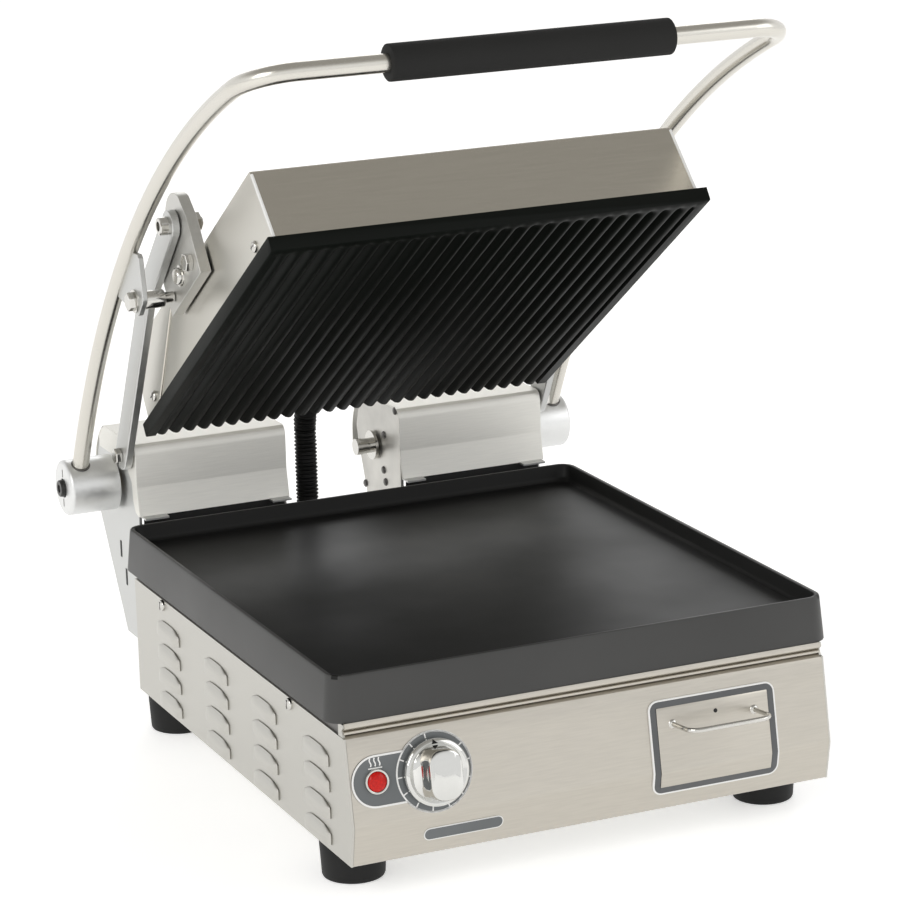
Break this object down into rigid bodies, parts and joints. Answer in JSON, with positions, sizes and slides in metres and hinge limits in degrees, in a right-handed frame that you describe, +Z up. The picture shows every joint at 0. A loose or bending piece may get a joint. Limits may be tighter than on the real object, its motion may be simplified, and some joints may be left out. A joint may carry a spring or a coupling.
{
  "type": "panini press",
  "caption": "Open panini press: flat griddle tray on a stainless base, tilted grooved upper plate, bowed rod handle with foam grip, red lamp, knob and drawer.",
  "frame": {"origin": "centre of the overall box at the worktop, under the feet", "axes": "+X to the right seen from the front, +Y to the rear where the hinge is, +Z up; the front with the knob faces -Y"},
  "size_m": [0.428, 0.5559, 0.5539],
  "materials": {
    "stainless": "satin",
    "black_rubber": "matte",
    "coated_tray": "satin",
    "coated_plate": "satin",
    "dark_steel": "satin",
    "insulation": "matte",
    "grey_label": "satin",
    "red_lens": "gloss",
    "black_plastic": "matte",
    "foam_grip": "matte",
    "black_steel": "satin",
    "light_aluminium": "satin",
    "bright_steel": "polished",
    "bushing_brass": "satin"
  },
  "bodies": {
    "base": {"feet": "black_rubber", "bottom_pan": "stainless", "front_panel": "stainless", "side_panel_left": "stainless", "side_panel_right": "stainless", "rear_panel": "stainless", "chassis_ring": "stainless", "griddle_tray": "coated_tray", "griddle_floor": "coated_tray", "lower_heating_element": "dark_steel", "lower_insulation": "insulation", "drain_chute": "stainless", "thermostat": "dark_steel", "dial_plate": "grey_label", "lamp_bezel": "bright_steel", "lamp_lens": "red_lens", "drawer_frame": "stainless", "drawer_runners": "stainless", "panel_screws": "bright_steel", "mains_gland": "black_plastic", "hinge_bracket_left": "light_aluminium", "hinge_bracket_right": "light_aluminium", "spring_cover_left": "stainless", "spring_cover_right": "stainless", "torsion_spring_left": "dark_steel", "torsion_spring_right": "dark_steel", "shaft_bushings": "bushing_brass", "arm_pivot_studs": "bright_steel", "conduit_lower": "black_plastic", "base_conduit_gland": "black_plastic"},
    "handle": {"handle_leg_left": "bright_steel", "handle_leg_right": "bright_steel", "handle_crossbar": "bright_steel", "handle_grip": "foam_grip", "hub_left": "light_aluminium", "hub_right": "light_aluminium", "hub_bolts": "black_steel", "hinge_shaft_left": "bright_steel", "hinge_shaft_right": "bright_steel", "shaft_washers": "bright_steel", "link_pins": "bright_steel"},
    "arms": {"lift_arm_left": "light_aluminium", "lift_arm_right": "light_aluminium", "arm_pivot_bolts": "bright_steel"},
    "platen": {"grooved_plate": "coated_plate", "upper_heating_element": "dark_steel", "upper_insulation": "insulation", "platen_casing": "stainless", "platen_rear_cover": "stainless", "platen_bracket_left": "light_aluminium", "platen_bracket_right": "light_aluminium", "bracket_bolts": "bright_steel", "platen_screws": "bright_steel", "conduit_upper": "black_plastic", "platen_conduit_gland": "black_plastic"},
    "knob": {"control_knob": "bright_steel"},
    "drawer": {"grease_drawer": "stainless", "drawer_pull": "bright_steel"}
  },
  "joints": [
    {"name": "handle_lift", "type": "hinge", "parent": "base", "child": "handle", "pos_m": [0, 0.23306, 0.1716], "axis": [1, 0, 0], "range_deg": [0, 42.76]},
    {"name": "arm_swing", "type": "hinge", "parent": "base", "child": "arms", "pos_m": [0, 0.19536, 0.20142], "axis": [1, 0, 0], "range_deg": [0, 49.64], "deforming": ["conduit_lower"]},
    {"name": "platen_tilt", "type": "hinge", "parent": "arms", "child": "platen", "pos_m": [0, 0.06708, 0.4008], "axis": [1, 0, 0], "range_deg": [-14.54, 0], "deforming": ["conduit_upper"]},
    {"name": "knob_turn", "type": "hinge", "parent": "base", "child": "knob", "pos_m": [-0.1187, -0.2461, 0.0829], "axis": [0, -0.9844, 0.1757], "range_deg": [-290, 0]},
    {"name": "drawer_slide", "type": "slide", "parent": "base", "child": "drawer", "axis": [0, -1, 0], "range_m": [0, 0.2]}
  ],
  "couplings": [
    {"joint": "arm_swing", "follows": "handle_lift", "ratio": 1.1607},
    {"joint": "platen_tilt", "follows": "handle_lift", "ratio": -0.33996}
  ]
}
